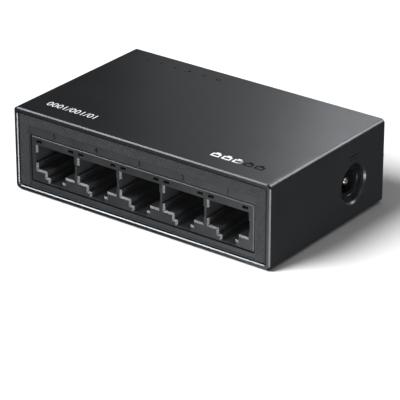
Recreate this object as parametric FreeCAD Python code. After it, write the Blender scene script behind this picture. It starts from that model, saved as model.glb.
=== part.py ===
import FreeCAD, Part
import os

# Five-port desktop network switch, in millimetres.
#
# Frame: the origin is the middle of the footprint, on the surface that the feet stand on.
# The network ports face -Y, the power socket faces +X and the indicator lights are near the
# +Y edge of the top. Heights are measured up from the surface that the feet stand on.

# ---------------------------------------------------------------- driving dimensions

# Case: one extruded sleeve, closed by a front bezel and a rear panel.
CASE_WIDTH = 82.4
CASE_DEPTH = 51.3
CASE_HEIGHT = 23.45
WALL = 1.2
OUTER_CORNER = 1.15
INNER_CORNER = 0.7
RIM_CHAMFER = 0.3
BORE_CHAMFER = 0.2
END_FIT = 0.15              # gap between the sleeve's bore and each end piece
BEZEL_RECESS = 0.55         # how far the bezel sits behind the front rim
PANEL_RECESS = 0.35         # how far the rear panel sits inside the rear rim
END_THICKNESS = 1.6

# Feet and the case screws under them.
FOOT_RADIUS = 3.9
FOOT_PROUD = 0.4
FOOT_CHAMFER = 0.15
FOOT_CENTRE_X = 35.0
FOOT_CENTRE_Y = 20.6
SCREW_CENTRE_X = 37.75
SCREW_RADIUS = 0.95
SCREW_HEAD_RADIUS = 1.4
SCREW_HEAD_HEIGHT = 0.6
SCREW_CLEARANCE = 0.1
SCREW_LENGTH = 7.4
DRIVE_LENGTH = 1.7
DRIVE_WIDTH = 0.35
DRIVE_DEPTH = 0.35
BOSS_HALF_WIDTH = 1.6
BOSS_HEIGHT = 5.6
BOSS_HOLE_RADIUS = 1.0
SPACER_RADIUS = 1.4

# Circuit board.
BOARD_THICKNESS = 1.2
BOARD_GAP = 1.0             # between the sleeve's floor and the board
BOARD_SIDE_GAP = 0.3
BOARD_END_GAP = 0.3

# Ganged network socket: five ports in one moulding.
PORT_COUNT = 5
PORT_PITCH = 13.97
SOCKET_WIDTH = 72.1
SOCKET_HEIGHT = 13.05
SOCKET_DEPTH = 16.0
SOCKET_SETBACK = 0.05       # the socket's face sits this far behind the bezel's face
SOCKET_CORNER = 0.4
SOCKET_FACE_CHAMFER = 0.35
WINDOW_GAP = 0.22           # between the socket and the bezel's window
PORT_DEPTH = 12.5
MOUTH_CHAMFER = 0.45
MOUTH_FLOOR_CHAMFER = 0.15
# Port outline: half widths, and heights above the board.
PORT_HALF_WIDTH = 6.05
PORT_GROOVE_HALF_WIDTH = 6.7
LATCH_HALF_WIDTH = 3.05
LATCH_SLOT_HALF_WIDTH = 2.0
PORT_TOP = 10.65
GROOVE_TOP = 8.35
GROOVE_BOTTOM = 5.4
LEDGE_HEIGHT = 3.55
LATCH_STEP_HEIGHT = 1.9
LATCH_FLOOR_HEIGHT = 0.5
# Two shallow lamp pockets above each port.
LAMP_POCKET_INNER = 4.35
LAMP_POCKET_OUTER = 6.25
LAMP_POCKET_LOW = 11.25
LAMP_POCKET_HIGH = 12.1
LAMP_POCKET_DEPTH = 1.5
# Pegs that locate the socket in the board.
PEG_RADIUS = 1.3
PEG_LENGTH = 1.0
PEG_SETBACK = 7.5
PEG_CLEARANCE = 0.1

# Contacts: eight wires to a port, each a fixed hairpin and a springy finger.
WIRE_COUNT = 8
WIRE_PITCH = 1.02
WIRE_WIDTH = 0.4
WIRE_THICKNESS = 0.4
HAIRPIN_RADIUS = 0.75
HAIRPIN_SETBACK = 3.1       # from the socket's face to the hairpin's centre
FINGER_SETBACK = 3.5        # from the socket's face to the finger's pivot
FINGER_LENGTH = 7.8
FINGER_SLOPE = 16.0         # degrees, downwards to the rear
FINGER_TOP_GAP = 0.45       # from the port's ceiling to the finger's pivot
TAIL_SETBACK = 15.8
TAIL_BELOW_BOARD = 0.6
TAIL_HOLE_RADIUS = 0.36
# The carrier is the plastic insert that holds one port's wires.
CHANNEL_HALF_WIDTH = 4.4
CHANNEL_SETBACK = 2.0
CHANNEL_HEIGHT = 1.55
CHAMBER_HALF_WIDTH = 5.9
CARRIER_CLEARANCE = 0.1
CARRIER_BACK_SETBACK = 15.5
TONGUE_SETBACK = 3.4
TONGUE_HALF_WIDTH = 4.2
TONGUE_LOW = 0.1
TONGUE_HIGH = 0.8

# Power socket.
POWER_AXIS_Y = 11.4
POWER_AXIS_ABOVE_BOARD = 6.9
POWER_WALL_HOLE_RADIUS = 5.3
POWER_WALL_CHAMFER = 0.45
POWER_BODY_LENGTH = 14.1
POWER_BODY_WIDTH = 9.0
POWER_BODY_HEIGHT = 11.2
POWER_COLLAR_LENGTH = 3.4
POWER_COLLAR_WIDTH = 11.4
POWER_COLLAR_HEIGHT = 12.6
POWER_BODY_CHAMFER = 0.4
POWER_FACE_GAP = 0.1        # between the socket's face and the sleeve's wall
POWER_BORE_RADIUS = 3.2
POWER_BORE_DEPTH = 9.6
POWER_LIP_RADIUS = 3.6      # a short wider step at the front of the bore
POWER_LIP_DEPTH = 0.6
POWER_LIP_CHAMFER = 0.15
POWER_PIN_RADIUS = 1.0
POWER_PIN_SETBACK = 1.0     # pin tip behind the socket's face
POWER_PIN_TIP = 0.25
POWER_PIN_DIMPLE_RADIUS = 0.42
POWER_PIN_DIMPLE_DEPTH = 0.5
POWER_SHANK_RADIUS = 0.8    # the part of the pin that is held in the moulding
POWER_SHANK_CLEARANCE = 0.02
TERMINAL_THICKNESS = 0.4
TERMINAL_WIDTH = 2.4
TERMINAL_FOOT_WIDTH = 1.2
# Springy leaf that presses on a plug's sleeve from below.
LEAF_WIDTH = 2.2
LEAF_THICKNESS = 0.3
LEAF_SLOT_WIDTH = 2.8
LEAF_SLOT_FLOOR = 1.0
LEAF_SLOT_FRONT = 1.6
LEAF_PIVOT_ABOVE_BOARD = 2.8
LEAF_PIVOT_FROM_BORE_END = 0.9
LEAF_RISE_LENGTH = 4.7
LEAF_CREST_BELOW_AXIS = 2.35
LEAF_LIP_LENGTH = 1.6
LEAF_LIP_DROP = 0.85

# Indicator lights under the top, and the clear guide that carries their light up.
LIGHT_COUNT = 6
LIGHT_FIRST_X = -34.05
LIGHT_PITCH = 4.83
LIGHT_Y = 20.1
LIGHT_HOLE_RADIUS = 0.3
LIGHT_TIP_RADIUS = 0.27
LIGHT_TIP_SINK = 0.1
LIGHT_CHIP_SIZE = (2.0, 1.25, 0.8)
GUIDE_RADIUS = 1.1
GUIDE_AIR_GAP = 0.3
GUIDE_TOP_GAP = 0.2
GUIDE_BAR_LOW = 2.6
GUIDE_BAR_HIGH = 5.0
GUIDE_BAR_HALF_DEPTH = 0.8
GUIDE_LEG_RADIUS = 0.9

# Electronics on the board: footprint centre (x, y) and size (x, y, height).
TRANSFORMER_SIZE = (12.6, 7.0, 4.2)
TRANSFORMER_Y = -3.2
TRANSFORMER_LEADS = 12
TRANSFORMER_LEAD_PITCH = 1.0
SWITCH_CHIP_SIZE = (14.0, 14.0, 1.4)
SWITCH_CHIP_CENTRE = (-2.0, 10.9)
SWITCH_CHIP_LEADS = 24
SWITCH_CHIP_LEAD_PITCH = 0.5
MEMORY_SIZE = (4.9, 3.9, 1.5)
MEMORY_CENTRE = (-17.5, 14.2)
CRYSTAL_SIZE = (11.0, 4.6, 3.5)
CRYSTAL_CENTRE = (-20.0, 7.6)
CRYSTAL_END_FLAT = 0.05     # left flat at the middle of each rounded end
INDUCTOR_SIZE = (5.2, 5.2, 3.0)
INDUCTOR_CENTRE = (12.8, 13.8)
REGULATOR_SIZE = (3.0, 1.7, 1.1)
REGULATOR_CENTRE = (12.8, 7.6)
CAPACITORS = (
    ("input_capacitor", 20.2, 15.4, 3.15, 7.7),
    ("output_capacitor", 20.2, 7.4, 3.15, 7.7),
    ("core_capacitor", 13.2, 19.6, 2.0, 5.4),
)
CAPACITOR_BASE_HEIGHT = 0.8
CAPACITOR_CAN_INSET = 0.1
CAPACITOR_ROUNDING = 0.3
CHIP_PART_SIZE = (1.6, 0.8, 0.5)
CHIP_PARTS_PER_PORT = 4
CHIP_PART_PITCH = 2.6
CHIP_PART_ROW_Y = 2.1
TRANSFORMER_BEVEL = 0.3
CHIP_BEVEL = 0.2
INDUCTOR_BEVEL = 0.5
REGULATOR_BEVEL = 0.1
LEAD_WIDTH = 0.25
LEAD_THICKNESS = 0.15
LEAD_REACH = 1.1

# Ventilation slots in the rear panel.
VENT_COUNT = 16
VENT_PITCH = 3.6
VENT_WIDTH = 1.2
VENT_HEIGHT = 7.0
VENT_CENTRE_HEIGHT = 12.2

# Slack for comparing two worked-out positions.
TOLERANCE = 1e-5

# ---------------------------------------------------------------- places worked out from them

CASE_BOTTOM = FOOT_PROUD
CASE_TOP = CASE_BOTTOM + CASE_HEIGHT
FRONT = -CASE_DEPTH / 2
REAR = CASE_DEPTH / 2
INSIDE_X = CASE_WIDTH / 2 - WALL
INSIDE_FLOOR = CASE_BOTTOM + WALL
INSIDE_TOP = CASE_TOP - WALL
BEZEL_FRONT = FRONT + BEZEL_RECESS
BEZEL_BACK = BEZEL_FRONT + END_THICKNESS
PANEL_BACK = REAR - PANEL_RECESS
PANEL_FRONT = PANEL_BACK - END_THICKNESS
BOARD_BOTTOM = INSIDE_FLOOR + BOARD_GAP
BOARD_TOP = BOARD_BOTTOM + BOARD_THICKNESS
BOARD_HALF_WIDTH = INSIDE_X - BOARD_SIDE_GAP
BOARD_FRONT = BEZEL_BACK + BOARD_END_GAP
BOARD_REAR = PANEL_FRONT - BOARD_END_GAP
SCREW_YS = (BEZEL_BACK + BOSS_HALF_WIDTH, PANEL_FRONT - BOSS_HALF_WIDTH)
SOCKET_FRONT = BEZEL_FRONT + SOCKET_SETBACK
SOCKET_BACK = SOCKET_FRONT + SOCKET_DEPTH
SOCKET_TOP = BOARD_TOP + SOCKET_HEIGHT
PORT_CEILING = BOARD_TOP + PORT_TOP
FINGER_Y = SOCKET_FRONT + FINGER_SETBACK
FINGER_Z = PORT_CEILING - FINGER_TOP_GAP
HAIRPIN_Y = SOCKET_FRONT + HAIRPIN_SETBACK
HAIRPIN_Z = FINGER_Z + HAIRPIN_RADIUS
TAIL_Y = SOCKET_FRONT + TAIL_SETBACK
TAIL_END = BOARD_BOTTOM - TAIL_BELOW_BOARD
POWER_AXIS_Z = BOARD_TOP + POWER_AXIS_ABOVE_BOARD
POWER_FACE_X = INSIDE_X - POWER_FACE_GAP
POWER_BACK_X = POWER_FACE_X - POWER_BODY_LENGTH
POWER_BORE_END_X = POWER_FACE_X - POWER_BORE_DEPTH
LEAF_PIVOT_X = POWER_BORE_END_X + LEAF_PIVOT_FROM_BORE_END
LEAF_PIVOT_Z = BOARD_TOP + LEAF_PIVOT_ABOVE_BOARD
LEAF_CREST_Z = POWER_AXIS_Z - LEAF_CREST_BELOW_AXIS


def port_centres():
    """The ports' centres along X; port 1 is the rightmost as seen from the front."""
    half_span = (PORT_COUNT - 1) / 2
    return [(half_span - index) * PORT_PITCH for index in range(PORT_COUNT)]


def wire_centres(port_x):
    """The centres along X of one port's wires."""
    half_span = (WIRE_COUNT - 1) / 2
    return [port_x + (index - half_span) * WIRE_PITCH for index in range(WIRE_COUNT)]


def light_centres():
    """The indicator lights' centres along X."""
    return [LIGHT_FIRST_X + index * LIGHT_PITCH for index in range(LIGHT_COUNT)]


def peg_centres():
    """The locating pegs' centres along X, under the walls between the ports."""
    half_span = (PORT_COUNT - 2) / 2
    return [(index - half_span) * PORT_PITCH for index in range(PORT_COUNT - 1)]


def screw_places():
    """The four case screws' centres (x, y)."""
    return [(side * SCREW_CENTRE_X, y) for y in SCREW_YS for side in (-1, 1)]


# ---------------------------------------------------------------- shape helpers

def block(x_range, y_range, z_range):
    """A box between two limits along each axis."""
    (x0, x1), (y0, y1), (z0, z1) = x_range, y_range, z_range
    corner = FreeCAD.Vector(x0, y0, z0)
    return Part.makeBox(x1 - x0, y1 - y0, z1 - z0, corner)


def around(centre, half):
    """The limits of a span with this centre and half length."""
    return (centre - half, centre + half)


def post(x, y, z_range, radius):
    """An upright cylinder."""
    base = FreeCAD.Vector(x, y, z_range[0])
    return Part.makeCylinder(radius, z_range[1] - z_range[0], base, FreeCAD.Vector(0, 0, 1))


def rod(x_range, y, z, radius):
    """A cylinder along X."""
    base = FreeCAD.Vector(x_range[0], y, z)
    return Part.makeCylinder(radius, x_range[1] - x_range[0], base, FreeCAD.Vector(1, 0, 0))


def cone_along_x(x_range, y, z, radii):
    """A cone along X with a radius at each end."""
    base = FreeCAD.Vector(x_range[0], y, z)
    length = x_range[1] - x_range[0]
    return Part.makeCone(radii[0], radii[1], length, base, FreeCAD.Vector(1, 0, 0))


def cone_along_z(x, y, z_range, radii):
    """A cone along Z with a radius at each end."""
    base = FreeCAD.Vector(x, y, z_range[0])
    length = z_range[1] - z_range[0]
    return Part.makeCone(radii[0], radii[1], length, base, FreeCAD.Vector(0, 0, 1))


def outline_wire(points):
    """A closed wire through the points."""
    corners = [FreeCAD.Vector(*point) for point in points]
    return Part.makePolygon(corners + corners[:1])


def prism(points, travel):
    """The solid swept by a closed flat outline moved along the travel vector."""
    return Part.Face(outline_wire(points)).extrude(FreeCAD.Vector(*travel))


def edges_along(shape, axis):
    """The straight edges that run along the named axis."""
    return [edge for edge in shape.Edges
            if 1 - abs(getattr(edge.tangentAt(edge.FirstParameter), axis)) < TOLERANCE]


def rounded_bar(half_width, z_range, y_range, corner):
    """A rectangle with rounded corners, centred on x = 0 and swept along Y."""
    bar = block((-half_width, half_width), y_range, z_range)
    return bar.makeFillet(corner, edges_along(bar, "y"))


def edges_at(shape, axis, value, keep=lambda box: True):
    """The edges that lie in the plane where the named coordinate has this value."""
    found = []
    for edge in shape.Edges:
        box = edge.BoundBox
        low = getattr(box, axis + "Min")
        high = getattr(box, axis + "Max")
        if abs(low - value) < TOLERANCE and abs(high - value) < TOLERANCE and keep(box):
            found.append(edge)
    return found


def rotated(shape, centre, axis, degrees):
    """A copy of the shape turned about an axis through the centre."""
    turned = shape.copy()
    turned.rotate(FreeCAD.Vector(*centre), FreeCAD.Vector(*axis), degrees)
    return turned


def save(node, solids):
    """Write one node's solids to its STEP file."""
    shape = solids if isinstance(solids, Part.Shape) else Part.makeCompound(solids)
    shape.exportStep(os.path.join("parts", node + ".step"))


# ---------------------------------------------------------------- case

def on_bore(box):
    """True for an edge of the sleeve's bore rather than of its outside."""
    across = box.XMin > -INSIDE_X - TOLERANCE and box.XMax < INSIDE_X + TOLERANCE
    upright = box.ZMin > INSIDE_FLOOR - TOLERANCE and box.ZMax < INSIDE_TOP + TOLERANCE
    return across and upright


def sleeve_tube():
    """The extruded tube, chamfered round the outside and the bore of each rim."""
    whole = (FRONT, REAR)
    tube = rounded_bar(CASE_WIDTH / 2, (CASE_BOTTOM, CASE_TOP), whole, OUTER_CORNER)
    outside_rims = edges_at(tube, "Y", FRONT) + edges_at(tube, "Y", REAR)
    tube = tube.makeChamfer(RIM_CHAMFER, outside_rims)
    tube = tube.cut(rounded_bar(INSIDE_X, (INSIDE_FLOOR, INSIDE_TOP), whole, INNER_CORNER))
    bore_rims = edges_at(tube, "Y", FRONT, on_bore) + edges_at(tube, "Y", REAR, on_bore)
    return tube.makeChamfer(BORE_CHAMFER, bore_rims)


def housing_sleeve():
    """The sleeve with all of its holes."""
    tube = sleeve_tube()
    outside_x = CASE_WIDTH / 2
    chamfer_x = (outside_x - POWER_WALL_CHAMFER, outside_x)
    chamfer_radii = (POWER_WALL_HOLE_RADIUS, POWER_WALL_HOLE_RADIUS + POWER_WALL_CHAMFER)
    tube = tube.cut(rod((INSIDE_X - WALL, outside_x), POWER_AXIS_Y, POWER_AXIS_Z, POWER_WALL_HOLE_RADIUS))
    tube = tube.cut(cone_along_x(chamfer_x, POWER_AXIS_Y, POWER_AXIS_Z, chamfer_radii))
    for x in light_centres():
        tube = tube.cut(post(x, LIGHT_Y, (INSIDE_TOP - WALL, CASE_TOP), LIGHT_HOLE_RADIUS))
    for x, y in screw_places():
        hole_radius = SCREW_RADIUS + SCREW_CLEARANCE
        head_radius = SCREW_HEAD_RADIUS + SCREW_CLEARANCE
        sink = (CASE_BOTTOM, CASE_BOTTOM + SCREW_HEAD_HEIGHT)
        tube = tube.cut(post(x, y, (CASE_BOTTOM, INSIDE_FLOOR + WALL), hole_radius))
        tube = tube.cut(cone_along_z(x, y, sink, (head_radius, hole_radius)))
    return tube


def screw_boss(x, y):
    """A block standing on the board that a case screw bites into."""
    heights = (BOARD_TOP, BOARD_TOP + BOSS_HEIGHT)
    boss = block(around(x, BOSS_HALF_WIDTH), around(y, BOSS_HALF_WIDTH), heights)
    return boss.cut(post(x, y, heights, BOSS_HOLE_RADIUS))


def end_piece(y_range, boss_y):
    """A plate that closes one end of the sleeve, with its two screw bosses."""
    heights = (INSIDE_FLOOR + END_FIT, INSIDE_TOP - END_FIT)
    plate = rounded_bar(INSIDE_X - END_FIT, heights, y_range, INNER_CORNER - END_FIT / 2)
    bosses = [screw_boss(side * SCREW_CENTRE_X, boss_y) for side in (-1, 1)]
    return plate.multiFuse(bosses)


def front_bezel():
    """The front plate with the window that the ganged socket fills."""
    thickness = (BEZEL_FRONT, BEZEL_BACK)
    bezel = end_piece(thickness, SCREW_YS[0])
    heights = (BOARD_TOP - WINDOW_GAP, SOCKET_TOP + WINDOW_GAP)
    half_width = SOCKET_WIDTH / 2 + WINDOW_GAP
    return bezel.cut(rounded_bar(half_width, heights, thickness, SOCKET_CORNER + WINDOW_GAP))


def rear_panel():
    """The rear plate with its row of ventilation slots."""
    panel = end_piece((PANEL_FRONT, PANEL_BACK), SCREW_YS[1])
    for index in range(VENT_COUNT):
        x = (index - (VENT_COUNT - 1) / 2) * VENT_PITCH
        straight = VENT_HEIGHT / 2 - VENT_WIDTH / 2
        heights = around(VENT_CENTRE_HEIGHT, straight)
        slot = block(around(x, VENT_WIDTH / 2), (PANEL_FRONT, PANEL_BACK), heights)
        for end in (-1, 1):
            base = FreeCAD.Vector(x, PANEL_FRONT, VENT_CENTRE_HEIGHT + end * straight)
            round_end = Part.makeCylinder(VENT_WIDTH / 2, END_THICKNESS, base, FreeCAD.Vector(0, 1, 0))
            slot = slot.fuse(round_end)
        panel = panel.cut(slot)
    return panel


def case_screw(x, y):
    """One countersunk self-tapping screw, pointing up."""
    head_end = CASE_BOTTOM + SCREW_HEAD_HEIGHT
    head = cone_along_z(x, y, (CASE_BOTTOM, head_end), (SCREW_HEAD_RADIUS, SCREW_RADIUS))
    shank = post(x, y, (head_end, CASE_BOTTOM + SCREW_LENGTH), SCREW_RADIUS)
    screw = head.fuse(shank)
    tip_edges = edges_at(screw, "Z", CASE_BOTTOM + SCREW_LENGTH)
    screw = screw.makeChamfer(SCREW_RADIUS / 2, tip_edges)
    drive_depth = (CASE_BOTTOM, CASE_BOTTOM + DRIVE_DEPTH)
    long_side = DRIVE_LENGTH / 2
    short_side = DRIVE_WIDTH / 2
    for half_x, half_y in ((long_side, short_side), (short_side, long_side)):
        screw = screw.cut(block(around(x, half_x), around(y, half_y), drive_depth))
    return screw


def board_spacer(x, y):
    """A nylon washer between the sleeve's floor and the board."""
    heights = (INSIDE_FLOOR, BOARD_BOTTOM)
    washer = post(x, y, heights, SPACER_RADIUS)
    return washer.cut(post(x, y, heights, SCREW_RADIUS + SCREW_CLEARANCE))


def rubber_foot(side, end):
    """A round stick-on foot near one corner, which covers that corner's case screw."""
    foot = post(side * FOOT_CENTRE_X, end * FOOT_CENTRE_Y, (0, FOOT_PROUD), FOOT_RADIUS)
    return foot.makeChamfer(FOOT_CHAMFER, edges_at(foot, "Z", 0))


# ---------------------------------------------------------------- ganged network socket

def port_outline(port_x, y, side_grow, floor_grow):
    """One port's outline at the depth y, with all but its grooves moved outwards."""
    main = PORT_HALF_WIDTH + side_grow
    groove = PORT_GROOVE_HALF_WIDTH
    latch = LATCH_HALF_WIDTH + side_grow
    slot = LATCH_SLOT_HALF_WIDTH + side_grow
    ledge = LEDGE_HEIGHT - side_grow
    step = LATCH_STEP_HEIGHT - side_grow
    floor = LATCH_FLOOR_HEIGHT - floor_grow
    right_side = (
        (main, PORT_TOP),
        (main, GROOVE_TOP),
        (groove, GROOVE_TOP),
        (groove, GROOVE_BOTTOM),
        (main, GROOVE_BOTTOM),
        (main, ledge),
        (latch, ledge),
        (latch, step),
        (slot, step),
        (slot, floor),
    )
    left_side = [(-half, height) for half, height in reversed(right_side)]
    return [(port_x + half, y, BOARD_TOP + height) for half, height in [*right_side, *left_side]]


def port_cavity(port_x):
    """The hollow of one port, with its chamfered mouth."""
    inner = port_outline(port_x, SOCKET_FRONT, 0, 0)
    cavity = prism(inner, (0, PORT_DEPTH, 0))
    mouth = port_outline(port_x, SOCKET_FRONT, MOUTH_CHAMFER, MOUTH_FLOOR_CHAMFER)
    throat = port_outline(port_x, SOCKET_FRONT + MOUTH_CHAMFER, 0, 0)
    chamfer = Part.makeLoft([outline_wire(mouth), outline_wire(throat)], True, True)
    return cavity.fuse(chamfer)


def carrier_space(port_x):
    """The chamber and the ceiling channel that one contact carrier fills."""
    channel = block(
        around(port_x, CHANNEL_HALF_WIDTH),
        (SOCKET_FRONT + CHANNEL_SETBACK, SOCKET_BACK),
        (PORT_CEILING, PORT_CEILING + CHANNEL_HEIGHT),
    )
    chamber = block(
        around(port_x, CHAMBER_HALF_WIDTH),
        (SOCKET_FRONT + PORT_DEPTH, SOCKET_BACK),
        (BOARD_TOP, PORT_CEILING + CHANNEL_HEIGHT),
    )
    return channel.fuse(chamber)


def lamp_pockets(port_x):
    """The two shallow pockets above one port."""
    depth = (SOCKET_FRONT, SOCKET_FRONT + LAMP_POCKET_DEPTH)
    heights = (BOARD_TOP + LAMP_POCKET_LOW, BOARD_TOP + LAMP_POCKET_HIGH)
    left = block((port_x - LAMP_POCKET_OUTER, port_x - LAMP_POCKET_INNER), depth, heights)
    right = block((port_x + LAMP_POCKET_INNER, port_x + LAMP_POCKET_OUTER), depth, heights)
    return [left, right]


def network_socket_housing():
    """The black moulding that holds all five ports."""
    depth = (SOCKET_FRONT, SOCKET_BACK)
    housing = rounded_bar(SOCKET_WIDTH / 2, (BOARD_TOP, SOCKET_TOP), depth, SOCKET_CORNER)
    housing = housing.makeChamfer(SOCKET_FACE_CHAMFER, edges_at(housing, "Y", SOCKET_FRONT))
    hollows = []
    for port_x in port_centres():
        hollows.append(port_cavity(port_x))
        hollows.append(carrier_space(port_x))
        hollows.extend(lamp_pockets(port_x))
    housing = housing.cut(hollows)
    pegs = []
    for x in peg_centres():
        heights = (BOARD_TOP - PEG_LENGTH, BOARD_TOP)
        pegs.append(post(x, SOCKET_FRONT + PEG_SETBACK, heights, PEG_RADIUS))
    return housing.multiFuse(pegs)


def contact_carrier(port_x):
    """The insert at the back of one port, with the tongue that its wires lie on."""
    gap = CARRIER_CLEARANCE
    back = block(
        around(port_x, CHAMBER_HALF_WIDTH - gap),
        (SOCKET_FRONT + PORT_DEPTH + gap, SOCKET_FRONT + CARRIER_BACK_SETBACK),
        (BOARD_TOP + gap, PORT_CEILING + TONGUE_HIGH),
    )
    tongue = block(
        around(port_x, TONGUE_HALF_WIDTH),
        (SOCKET_FRONT + TONGUE_SETBACK, SOCKET_FRONT + PORT_DEPTH + 2 * gap),
        (PORT_CEILING + TONGUE_LOW, PORT_CEILING + TONGUE_HIGH),
    )
    return back.fuse(tongue)


def hairpin_wire(x):
    """One fixed wire: up from the board, forwards over the tongue and round its hairpin."""
    half = WIRE_THICKNESS / 2
    left = x - WIRE_WIDTH / 2
    run_z = HAIRPIN_Z + HAIRPIN_RADIUS
    span = (left, left + WIRE_WIDTH)
    tail = block(span, around(TAIL_Y, half), (TAIL_END, run_z + half))
    run = block(span, (HAIRPIN_Y, TAIL_Y), around(run_z, half))
    centre = FreeCAD.Vector(left, HAIRPIN_Y, HAIRPIN_Z)
    along_x = FreeCAD.Vector(1, 0, 0)
    ring = Part.makeCylinder(HAIRPIN_RADIUS + half, WIRE_WIDTH, centre, along_x)
    ring = ring.cut(Part.makeCylinder(HAIRPIN_RADIUS - half, WIRE_WIDTH, centre, along_x))
    reach = 2 * HAIRPIN_RADIUS
    front_half = block(span, (HAIRPIN_Y - reach, HAIRPIN_Y), around(HAIRPIN_Z, reach))
    bend = ring.common(front_half)
    return tail.fuse(run).fuse(bend)


def spring_finger(x):
    """One springy wire, from its pivot at the hairpin down to its free end."""
    half = WIRE_THICKNESS / 2
    left = x - WIRE_WIDTH / 2
    span = (left, left + WIRE_WIDTH)
    strip = block(span, (FINGER_Y, FINGER_Y + FINGER_LENGTH), around(FINGER_Z, half))
    for y in (FINGER_Y, FINGER_Y + FINGER_LENGTH):
        base = FreeCAD.Vector(left, y, FINGER_Z)
        strip = strip.fuse(Part.makeCylinder(half, WIRE_WIDTH, base, FreeCAD.Vector(1, 0, 0)))
    return rotated(strip.removeSplitter(), (x, FINGER_Y, FINGER_Z), (1, 0, 0), -FINGER_SLOPE)


# ---------------------------------------------------------------- power socket

def power_socket_body():
    """The moulded power socket: a collar behind the wall, a bore for the plug, a slot for the leaf."""
    body = block(
        (POWER_BACK_X, POWER_FACE_X),
        around(POWER_AXIS_Y, POWER_BODY_WIDTH / 2),
        (BOARD_TOP, BOARD_TOP + POWER_BODY_HEIGHT),
    )
    collar = block(
        (POWER_FACE_X - POWER_COLLAR_LENGTH, POWER_FACE_X),
        around(POWER_AXIS_Y, POWER_COLLAR_WIDTH / 2),
        (BOARD_TOP, BOARD_TOP + POWER_COLLAR_HEIGHT),
    )
    body = body.makeChamfer(POWER_BODY_CHAMFER, edges_at(body, "Z", BOARD_TOP + POWER_BODY_HEIGHT))
    collar = collar.makeChamfer(POWER_BODY_CHAMFER, edges_at(collar, "Z", BOARD_TOP + POWER_COLLAR_HEIGHT))
    body = body.fuse(collar)
    lip_x = (POWER_FACE_X - POWER_LIP_DEPTH, POWER_FACE_X)
    chamfer_x = (POWER_FACE_X - POWER_LIP_CHAMFER, POWER_FACE_X)
    chamfer_radii = (POWER_LIP_RADIUS, POWER_LIP_RADIUS + POWER_LIP_CHAMFER)
    body = body.cut(rod((POWER_BORE_END_X, POWER_FACE_X), POWER_AXIS_Y, POWER_AXIS_Z, POWER_BORE_RADIUS))
    body = body.cut(rod(lip_x, POWER_AXIS_Y, POWER_AXIS_Z, POWER_LIP_RADIUS))
    body = body.cut(cone_along_x(chamfer_x, POWER_AXIS_Y, POWER_AXIS_Z, chamfer_radii))
    shank_hole = POWER_SHANK_RADIUS + POWER_SHANK_CLEARANCE
    body = body.cut(rod((POWER_BACK_X, POWER_BORE_END_X), POWER_AXIS_Y, POWER_AXIS_Z, shank_hole))
    leaf_slot = block(
        (POWER_BORE_END_X, POWER_FACE_X - LEAF_SLOT_FRONT),
        around(POWER_AXIS_Y, LEAF_SLOT_WIDTH / 2),
        (BOARD_TOP + LEAF_SLOT_FLOOR, POWER_AXIS_Z - POWER_PIN_RADIUS - LEAF_THICKNESS),
    )
    root_slot = block(
        (POWER_BORE_END_X, LEAF_PIVOT_X),
        around(POWER_AXIS_Y, LEAF_SLOT_WIDTH / 2),
        (BOARD_TOP, BOARD_TOP + LEAF_SLOT_FLOOR),
    )
    return body.cut([leaf_slot, root_slot])


def power_pin():
    """The centre pin that a plug slides over; it runs back through the rear terminal."""
    tip_x = POWER_FACE_X - POWER_PIN_SETBACK
    back_x = POWER_BACK_X - TERMINAL_THICKNESS
    pin = rod((POWER_BORE_END_X, tip_x), POWER_AXIS_Y, POWER_AXIS_Z, POWER_PIN_RADIUS)
    pin = pin.makeFillet(POWER_PIN_TIP, edges_at(pin, "X", tip_x))
    dimple = (tip_x - POWER_PIN_DIMPLE_DEPTH, tip_x)
    pin = pin.cut(rod(dimple, POWER_AXIS_Y, POWER_AXIS_Z, POWER_PIN_DIMPLE_RADIUS))
    return pin.fuse(rod((back_x, POWER_BORE_END_X), POWER_AXIS_Y, POWER_AXIS_Z, POWER_SHANK_RADIUS))


def pin_terminal():
    """The strip behind the power socket that joins the pin to the board."""
    thickness = (POWER_BACK_X - TERMINAL_THICKNESS, POWER_BACK_X)
    top = POWER_AXIS_Z + TERMINAL_WIDTH
    strip = block(thickness, around(POWER_AXIS_Y, TERMINAL_WIDTH), (BOARD_TOP, top))
    foot = block(thickness, around(POWER_AXIS_Y, TERMINAL_FOOT_WIDTH / 2), (TAIL_END, BOARD_TOP))
    hole_radius = POWER_SHANK_RADIUS + POWER_SHANK_CLEARANCE
    return strip.fuse(foot).cut(rod(thickness, POWER_AXIS_Y, POWER_AXIS_Z, hole_radius))


def leaf_terminal():
    """The fixed foot of the leaf, standing in its slot and soldered to the board."""
    back_x = POWER_BORE_END_X + CARRIER_CLEARANCE
    span = (back_x, back_x + LEAF_THICKNESS)
    top = LEAF_PIVOT_Z + LEAF_THICKNESS
    upright = block(span, around(POWER_AXIS_Y, LEAF_WIDTH / 2), (BOARD_TOP, top))
    foot = block(span, around(POWER_AXIS_Y, TERMINAL_FOOT_WIDTH / 2), (TAIL_END, BOARD_TOP))
    return upright.fuse(foot)


def sleeve_leaf():
    """The moving leaf: it rises from its pivot to a crest, then dips towards the mouth."""
    crest_x = LEAF_PIVOT_X + LEAF_RISE_LENGTH
    lip_x = crest_x + LEAF_LIP_LENGTH
    lip_z = LEAF_CREST_Z - LEAF_LIP_DROP
    side_y = POWER_AXIS_Y - LEAF_WIDTH / 2
    profile = (
        (LEAF_PIVOT_X, side_y, LEAF_PIVOT_Z - LEAF_THICKNESS),
        (crest_x, side_y, LEAF_CREST_Z - LEAF_THICKNESS),
        (lip_x, side_y, lip_z - LEAF_THICKNESS),
        (lip_x, side_y, lip_z),
        (crest_x, side_y, LEAF_CREST_Z),
        (LEAF_PIVOT_X, side_y, LEAF_PIVOT_Z),
    )
    return prism(profile, (0, LEAF_WIDTH, 0))


# ---------------------------------------------------------------- board and its electronics

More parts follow.
